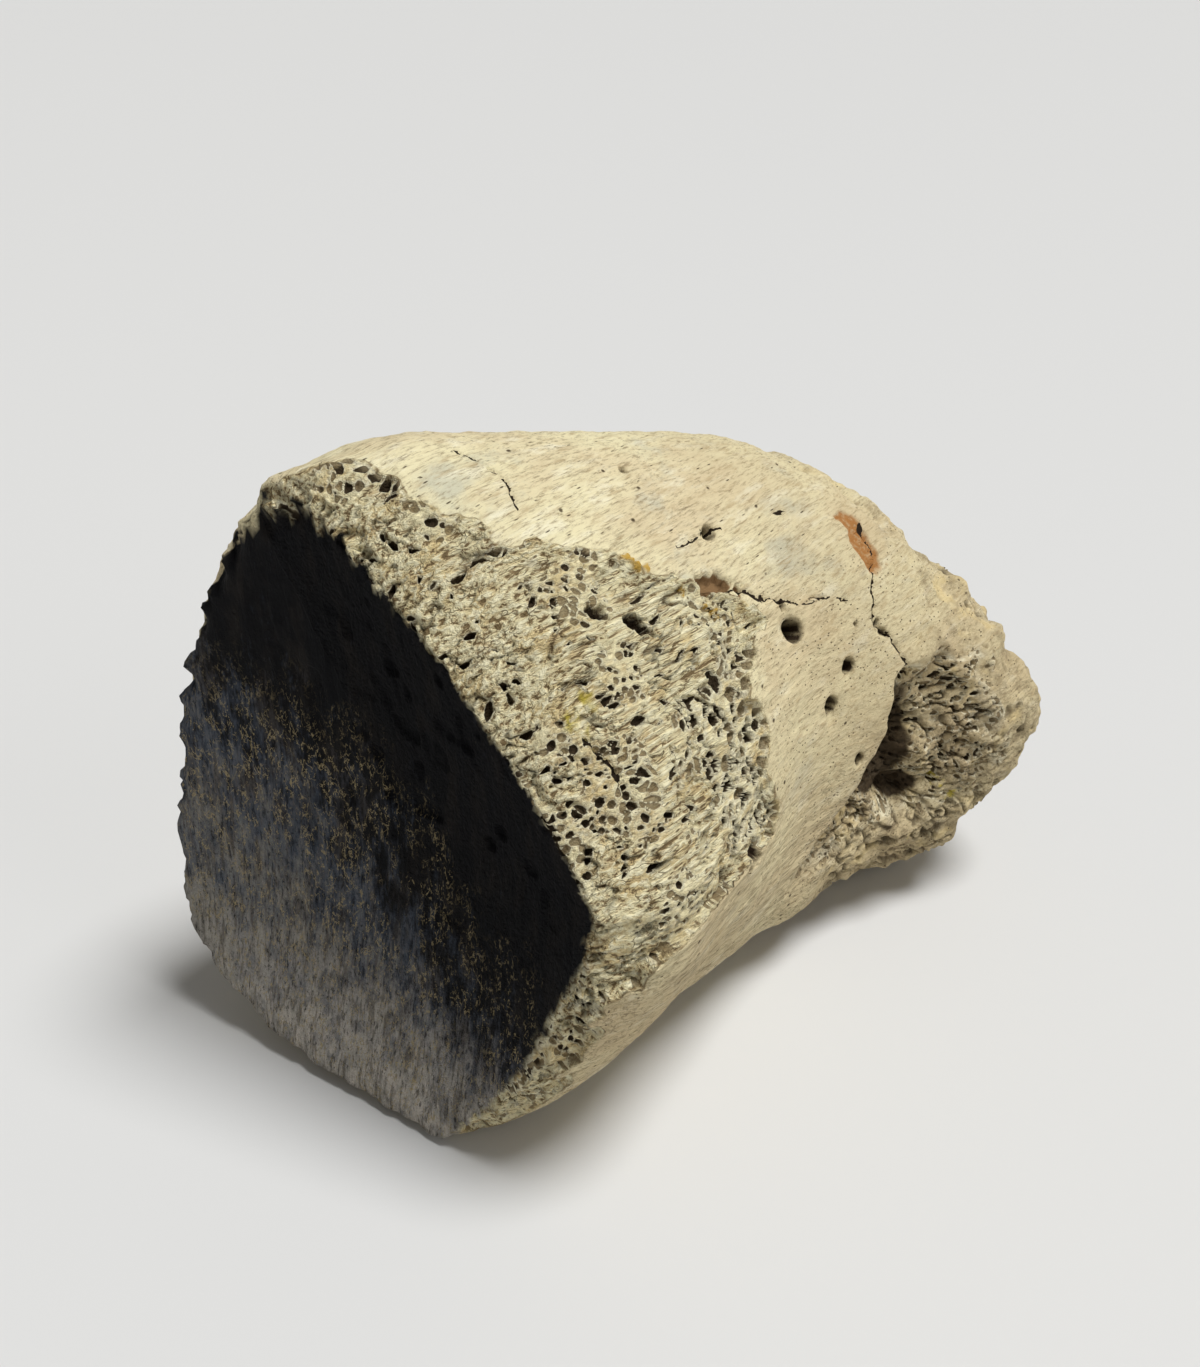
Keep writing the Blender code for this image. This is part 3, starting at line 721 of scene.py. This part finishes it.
# painted shade in the valleys between the plates, painted highlight on their crests
colour = blend(times(ranged(lamellae, 0.50, 0.36), plated, 0.85), colour, FLANK_BROWN)
colour = blend(times(ranged(lamellae, 0.44, 0.36), plated), colour, HOLLOW_SHADE)
colour = blend(times(ranged(lamellae, 0.50, 0.60), plated, 0.9), colour, CREST_HIGHLIGHT)
lines = lines_in((7.0, 0.85, 0.85), 1.0, 0.004, 0.035, 10.0)
lines = times(lines, ranged(noise((3.5, 2.5, 2.5), 2), 0.42, 0.6), plated)
spots = times(pores((2.0, 0.8, 0.8), 0.26, 0.35), flaked)
# inside: painted shade in the open hollows; lip: painted highlight along their thin lips
inside = times(ranged(mask("hole"), -0.05, 0.22), ranged(mask("open"), 0.0, 0.2))
lip = times(less(ranged(unsigned(mask("hole")), 0.25, 0.75)), ranged(mask("open"), 0.1, 0.5))
colour = blend(times(lip, 0.6), colour, PALE)
fine_dark = noise((1.3, 0.42, 0.42), 4, 0.7, 0.2, 12.0)
colour = blend(times(ranged(fine_dark, 0.56, 0.68), flaked, 0.65), colour, TAN_DARK)
colour = blend(times(inside, 0.8), colour, HOLLOW_SHADE)
# painted shade in the thin clefts and pores
colour = blend(times(math_node("MAXIMUM", lines, spots), 0.85), colour, HOLLOW_SHADE)
# painted shadow under the step at the flaked border
border_line = less(ranged(unsigned(math_node("SUBTRACT", mask("border"), 0.15)), 0.03, 0.28))
border_line = times(border_line, ranged(noise((3, 3, 3), 3), 0.42, 0.6))
colour = blend(times(border_line, 0.8), colour, HOLLOW_SHADE)

# the dense bone low on the sides, drawn out in long fibres
fibre_lines = lines_in((9.0, 0.55, 0.55), 2.0, 0.006, 0.030, 4.0)
fibre_lines = times(fibre_lines, ranged(height, 42 * MM, 26 * MM), less(flaked))
colour = blend(times(fibre_lines, 0.7), colour, GRAIN_DARK)

# the worn end, the pit, pores, painted shade in the hollows, stains and lichen
rough_end = math_node("MAXIMUM", mask("end_rough"), mask("lined"))
darkened = ranged(noise((3.0, 2.2, 2.2), 5, 0.65), 0.45, 0.7)
colour = blend(times(darkened, rough_end, 0.75), colour, GRAIN_DARK)
yellowed = ranged(noise((5, 4, 4), 3), 0.52, 0.68)
colour = blend(times(yellowed, rough_end, 0.5), colour, WALL_YELLOW)
fine = times(pores((0.9, 0.55, 0.55), 0.24, 0.6), ranged(mask("pinpricks"), 0, 1, 0.08, 0.9))
coarse = times(pores((2.9, 2.2, 2.2), 0.15, 0.25), less(flaked))
dashes = times(pores((2.6, 0.5, 0.5), 0.22, 0.2), less(flaked), less(mask("pinpricks")))
dots = math_node("MAXIMUM", math_node("MAXIMUM", fine, coarse), dashes)
colour = blend(dots, colour, PORE)
# near-black painted shade deep inside the most open hollows
colour = blend(times(inside, ranged(mask("open"), 0.45, 0.95), 0.93), colour, DEEP_SHADE)
# painted shade in the ligament pit's deep hollow and clefts
colour = blend(times(mask("shade"), 0.6), colour, HOLLOW_SHADE)
colour = blend(ranged(mask("shade"), 0.35, 0.8, 0.0, 0.92), colour, DEEP_SHADE)
# painted shade in the flank's clefts, the named holes and the end's pocks
colour = blend(mask("cavity_shade"), colour, DEEP_SHADE)
colour = blend(ranged(mask("chip"), 0.25, 0.5), colour, CHIP_BROWN)
rusted = times(mask("rust"), ranged(noise((0.8, 0.8, 0.8), 4), 0.3, 0.55, 0.6, 1.0))
colour = blend(rusted, colour, RUST)
colour = blend(times(mask("lichen"), 0.9), colour, LICHEN_GOLD)
colour = blend(times(mask("moss"), 0.85), colour, MOSS_YELLOW)

# the socket's blue-black skin, its tone partly its own and partly painted light and shade, paler low down
# and on the far side, black high on the near side; fibred upright, threaded with ochre
PATINA_BLACK = (0.003, 0.003, 0.004, 1)
PATINA_BLUE = (0.060, 0.072, 0.096, 1)
PATINA_BROWN = (0.075, 0.058, 0.042, 1)
PATINA_PALE = (0.33, 0.31, 0.27, 1)
PATINA_SLATE = (0.105, 0.125, 0.160, 1)
PATINA_PALE_LOW = (0.60, 0.55, 0.48, 1)
OCHRE = (0.44, 0.35, 0.19, 1)
fibres = noise((0.6, 0.45, 2.6), 4, 0.7)
mottle = noise((3.0, 2.0, 4.0), 5, 0.7)
tone = math_node("ADD", mask("patina_and_shade"), ranged(fibres, 0.25, 0.75, -0.15, 0.15))
tone = math_node("ADD", tone, ranged(mottle, 0.3, 0.7, -0.17, 0.17))
patina_and_shade = blend(ranged(tone, 0.15, 0.62), PATINA_BLACK, PATINA_BLUE)
browned = times(ranged(noise((7, 3, 9), 4), 0.46, 0.68), ranged(tone, 0.1, 0.5, 0.15, 0.6))
patina_and_shade = blend(browned, patina_and_shade, PATINA_BROWN)
patina_and_shade = blend(ranged(tone, 0.45, 1.15), patina_and_shade, PATINA_PALE)
slate = times(ranged(noise((9, 6, 8), 3), 0.44, 0.6), ranged(tone, 0.4, 0.8, 0.0, 0.6))
patina_and_shade = blend(slate, patina_and_shade, PATINA_SLATE)
# paler towards the bottom: partly the skin's own paler tone, partly painted light from the floor
pale_low = times(ranged(height, 25 * MM, 2 * MM), ranged(mottle, 0.38, 0.6, 0.25, 1.0),
              ranged(tone, 0.2, 0.8))
patina_and_shade = blend(pale_low, patina_and_shade, PATINA_PALE_LOW)
long_fibres = times(ranged(noise((1.6, 0.8, 7.0), 4, 0.7), 0.52, 0.36),
                    ranged(tone, 0.35, 0.8, 0.0, 0.6))
patina_and_shade = blend(long_fibres, patina_and_shade, PATINA_BROWN)
patina_and_shade = blend(ranged(fibres, 0.47, 0.30, 0.0, 0.75), patina_and_shade, PATINA_BLACK)
patina_and_shade = blend(ranged(noise((0.5, 0.4, 0.8), 3, 0.7), 0.44, 0.32, 0.0, 0.7), patina_and_shade, PATINA_BLACK)
threads = lines_in((1.2, 0.8, 1.5), 3.0, 0.005, 0.026)
flecks = math_node("MAXIMUM", threads, ranged(noise((0.5, 0.45, 0.8), 3, 0.8), 0.58, 0.62))
flecks = times(flecks, ranged(noise((1.8, 1.4, 2.2), 3, 0.7), 0.44, 0.56))
flecks = times(flecks, ranged(noise((16, 14, 16), 2), 0.32, 0.46), ranged(mask("patina_and_shade"), 0.0, 0.22))
flecks = times(flecks, ranged(height, 60 * MM, 44 * MM, 0.12, 1.0))
patina_and_shade = blend(times(flecks, 0.85), patina_and_shade, OCHRE)
# painted shade in the socket's dimples
patina_and_shade = blend(times(mask("dimples"), 0.6), patina_and_shade, PATINA_BLACK)
colour = blend(mask("socket"), colour, patina_and_shade)

# the cracks go through everything, and the whole bone is matt, a little less so in the socket
CRACK_DARK = (0.03, 0.02, 0.012, 1)
crack_width = ranged(noise((1.5, 1.5, 1.5), 3), 0.35, 0.65, 0.08, 0.36)
crack = math_node("LESS_THAN", unsigned(mask("crack_side")), crack_width)
crack = times(crack, math_node("GREATER_THAN", mask("crack_near"), 0.72))
colour = blend(crack, colour, CRACK_DARK)
tree.links.new(colour, shader.inputs["Base Color"])
roughness = ranged(mask("socket"), 0, 1, 0.88, 0.7)
tree.links.new(roughness, shader.inputs["Roughness"])
shader.inputs["Specular IOR Level"].default_value = 0.12

# the relief finer than the mesh: grain, fibres and plates stand up, pores and holes lie deep
RELIEF_DEPTH = 0.3
relief = math_node("ADD", times(grain, 1.2), times(streaks, 1.5))
relief = math_node("SUBTRACT", relief, times(fibre_lines, 1.8))
relief = math_node("SUBTRACT", relief, times(dots, 1.3))
fine_rough = noise((0.9, 0.4, 0.4), 4, 0.65)
relief = math_node("ADD", relief, times(fine_rough, math_node("ADD", flaked, rough_end), 1.2))
relief = math_node("SUBTRACT", relief, times(ranged(fine_dark, 0.42, 0.66), flaked, 1.6))
relief = math_node("SUBTRACT", relief, times(math_node("MAXIMUM", lines, spots), 2.6))
relief = math_node("SUBTRACT", relief, times(inside, 1.6))
relief = math_node("ADD", relief, times(ranged(lamellae, 0.3, 0.62), plated, 4.0))
relief = math_node("ADD", relief, times(fibres, mask("socket"), 1.6))
bump = node("ShaderNodeBump", Height=relief, Strength=0.7)
bump.inputs["Distance"].default_value = RELIEF_DEPTH * MM
tree.links.new(bump.outputs["Normal"], shader.inputs["Normal"])

bone.data.materials.clear()
bone.data.materials.append(material)
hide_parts("phalanx")
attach(bone, "root")

# The floor: a plain pale matt sheet that the bone lies on, wide enough to reach out of every
# view.
FLOOR_SIZE, FLOOR_GREY = 12.0, (0.70, 0.70, 0.69, 1)
bm = bmesh.new()
bmesh.ops.create_grid(bm, x_segments=1, y_segments=1, size=FLOOR_SIZE / 2)
floor_mesh = bpy.data.meshes.new("floor")
bm.to_mesh(floor_mesh)
bm.free()
floor = bpy.data.objects.new("floor", floor_mesh)
bpy.context.scene.collection.objects.link(floor)
floor_material = bpy.data.materials.new("pale_floor")
floor_material.use_nodes = True
floor_shader = floor_material.node_tree.nodes["Principled BSDF"]
floor_shader.inputs["Base Color"].default_value = FLOOR_GREY
floor_shader.inputs["Roughness"].default_value = 0.7
floor.data.materials.append(floor_material)

# The light: one soft key, nearly overhead and a little toward the flaked flank, a weak wide
# side light on that flank, and a pale surround.
def sun(name, direction, angle, strength):
    light = bpy.data.lights.new(name, "SUN")
    light.angle, light.energy = math.radians(angle), strength
    holder = bpy.data.objects.new(name, light)
    holder.rotation_mode = "QUATERNION"
    holder.rotation_quaternion = Vector(direction).to_track_quat("Z", "Y")
    bpy.context.scene.collection.objects.link(holder)


sun("key", (0.14, -0.34, 1.0), 22.0, 2.95)
sun("side", (0.08, -0.9, 0.42), 36.0, 0.3)
world = bpy.data.worlds.new("surround")
bpy.context.scene.world = world
world.use_nodes = True
world.node_tree.nodes["Background"].inputs["Color"].default_value = (1.0, 0.99, 0.97, 1)
world.node_tree.nodes["Background"].inputs["Strength"].default_value = 0.17
bpy.context.scene.view_settings.view_transform = "Standard"

# The camera: 136 mm above the floor, off the socket end on the flaked side, looking 29 degrees
# down.
CAMERA_PLACE, CAMERA_DOWN, CAMERA_TURN = (-0.1477, -0.0898, 0.1359), 29, -56
camera = bpy.data.objects.new("camera", bpy.data.cameras.new("camera"))
bpy.context.scene.collection.objects.link(camera)
camera.location = CAMERA_PLACE
camera.rotation_euler = (math.radians(90 - CAMERA_DOWN), 0, math.radians(CAMERA_TURN))
camera.data.lens = 36.87
camera.data.sensor_width = 36
camera.data.clip_start = 0.005
camera.data.clip_end = 50
bpy.context.scene.camera = camera

bpy.context.view_layer.update()
